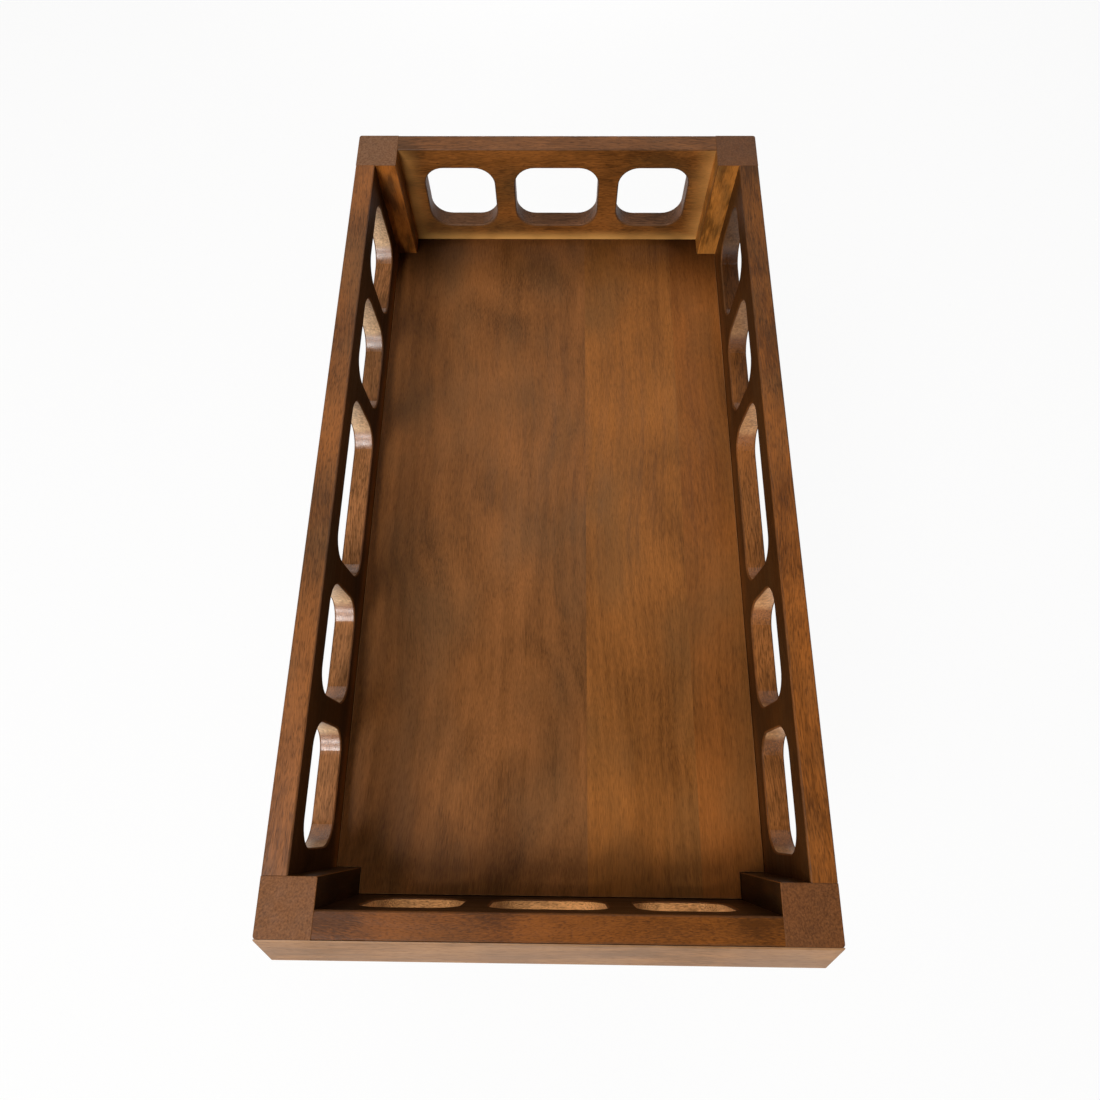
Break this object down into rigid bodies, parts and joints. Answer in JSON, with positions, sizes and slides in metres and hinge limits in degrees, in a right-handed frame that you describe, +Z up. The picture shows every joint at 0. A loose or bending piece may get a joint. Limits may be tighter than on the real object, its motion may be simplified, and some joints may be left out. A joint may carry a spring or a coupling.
{
  "type": "serving trolley",
  "caption": "Wooden serving trolley with upper and lower pierced-gallery trays between square legs, a bevelled grip rail at one end and braked swivel castors.",
  "frame": {"origin": "on the ground, under the middle of the trolley's bounding box", "axes": "+Z up, +X to the right across the width, +Y along the length away from the push end, so the grip rail is at -Y"},
  "size_m": [0.4, 0.745, 0.76],
  "materials": {
    "leg_wood": "dark brown stain, satin, end grain on top",
    "rail_wood": "dark brown stain, satin, grain along the rail",
    "floor_wood": "dark brown stain, satin, grain along the tray",
    "grip_wood": "lighter brown stain, satin",
    "cleat_wood": "plain stained softwood",
    "dowel_wood": "plain beech",
    "screw_steel": "zinc plated",
    "castor_steel": "satin black",
    "axle_steel": "bright zinc",
    "wheel_plastic": "black nylon",
    "tyre_rubber": "black rubber"
  },
  "bodies": {
    "frame": {"leg_front_left": "leg_wood", "leg_front_right": "leg_wood", "leg_rear_right": "leg_wood", "leg_rear_left": "leg_wood", "upper_rail_left": "rail_wood", "upper_cleat_left": "cleat_wood", "upper_rail_right": "rail_wood", "upper_cleat_right": "cleat_wood", "upper_rail_front": "rail_wood", "upper_cleat_front": "cleat_wood", "upper_rail_rear": "rail_wood", "upper_cleat_rear": "cleat_wood", "upper_floor_panel": "floor_wood", "upper_rail_dowels": "dowel_wood", "upper_cleat_screws": "screw_steel", "upper_floor_screws": "screw_steel", "lower_rail_left": "rail_wood", "lower_cleat_left": "cleat_wood", "lower_rail_right": "rail_wood", "lower_cleat_right": "cleat_wood", "lower_rail_front": "rail_wood", "lower_cleat_front": "cleat_wood", "lower_rail_rear": "rail_wood", "lower_cleat_rear": "cleat_wood", "lower_floor_panel": "floor_wood", "lower_rail_dowels": "dowel_wood", "lower_cleat_screws": "screw_steel", "lower_floor_screws": "screw_steel", "grip_rail": "grip_wood", "grip_rail_dowels": "dowel_wood", "castor_socket_front_left": "castor_steel", "castor_stem_front_left": "castor_steel", "castor_socket_front_right": "castor_steel", "castor_stem_front_right": "castor_steel", "castor_socket_rear_right": "castor_steel", "castor_stem_rear_right": "castor_steel", "castor_socket_rear_left": "castor_steel", "castor_stem_rear_left": "castor_steel"},
    "brake_front_left": {"brake_pedal_front_left": "castor_steel"},
    "castor_front_left": {"castor_fork_front_left": "castor_steel", "castor_axle_front_left": "axle_steel", "brake_pin_front_left": "axle_steel"},
    "wheel_front_left": {"castor_wheel_front_left": "wheel_plastic", "castor_tyre_front_left": "tyre_rubber"},
    "brake_front_right": {"brake_pedal_front_right": "castor_steel"},
    "castor_front_right": {"castor_fork_front_right": "castor_steel", "castor_axle_front_right": "axle_steel", "brake_pin_front_right": "axle_steel"},
    "wheel_front_right": {"castor_wheel_front_right": "wheel_plastic", "castor_tyre_front_right": "tyre_rubber"},
    "castor_rear_right": {"castor_fork_rear_right": "castor_steel", "castor_axle_rear_right": "axle_steel"},
    "wheel_rear_right": {"castor_wheel_rear_right": "wheel_plastic", "castor_tyre_rear_right": "tyre_rubber"},
    "castor_rear_left": {"castor_fork_rear_left": "castor_steel", "castor_axle_rear_left": "axle_steel"},
    "wheel_rear_left": {"castor_wheel_rear_left": "wheel_plastic", "castor_tyre_rear_left": "tyre_rubber"}
  },
  "joints": [
    {"name": "swivel_front_left", "type": "hinge", "parent": "frame", "child": "castor_front_left", "pos_m": [-0.18, -0.3375, 0.0656], "axis": [0, 0, 1], "continuous": true},
    {"name": "roll_front_left", "type": "hinge", "parent": "castor_front_left", "child": "wheel_front_left", "pos_m": [-0.18, -0.3215, 0.025], "axis": [1, 0, 0], "continuous": true},
    {"name": "brake_front_left", "type": "hinge", "parent": "castor_front_left", "child": "brake_front_left", "pos_m": [-0.18, -0.3245, 0.055], "axis": [-1, 0, 0], "range_deg": [0, 5]},
    {"name": "swivel_front_right", "type": "hinge", "parent": "frame", "child": "castor_front_right", "pos_m": [0.18, -0.3375, 0.0656], "axis": [0, 0, 1], "continuous": true},
    {"name": "roll_front_right", "type": "hinge", "parent": "castor_front_right", "child": "wheel_front_right", "pos_m": [0.18, -0.3215, 0.025], "axis": [1, 0, 0], "continuous": true},
    {"name": "brake_front_right", "type": "hinge", "parent": "castor_front_right", "child": "brake_front_right", "pos_m": [0.18, -0.3245, 0.055], "axis": [-1, 0, 0], "range_deg": [0, 5]},
    {"name": "swivel_rear_right", "type": "hinge", "parent": "frame", "child": "castor_rear_right", "pos_m": [0.18, 0.3525, 0.0656], "axis": [0, 0, 1], "continuous": true},
    {"name": "roll_rear_right", "type": "hinge", "parent": "castor_rear_right", "child": "wheel_rear_right", "pos_m": [0.18, 0.3365, 0.025], "axis": [1, 0, 0], "continuous": true},
    {"name": "swivel_rear_left", "type": "hinge", "parent": "frame", "child": "castor_rear_left", "pos_m": [-0.18, 0.3525, 0.0656], "axis": [0, 0, 1], "continuous": true},
    {"name": "roll_rear_left", "type": "hinge", "parent": "castor_rear_left", "child": "wheel_rear_left", "pos_m": [-0.18, 0.3365, 0.025], "axis": [1, 0, 0], "continuous": true}
  ]
}
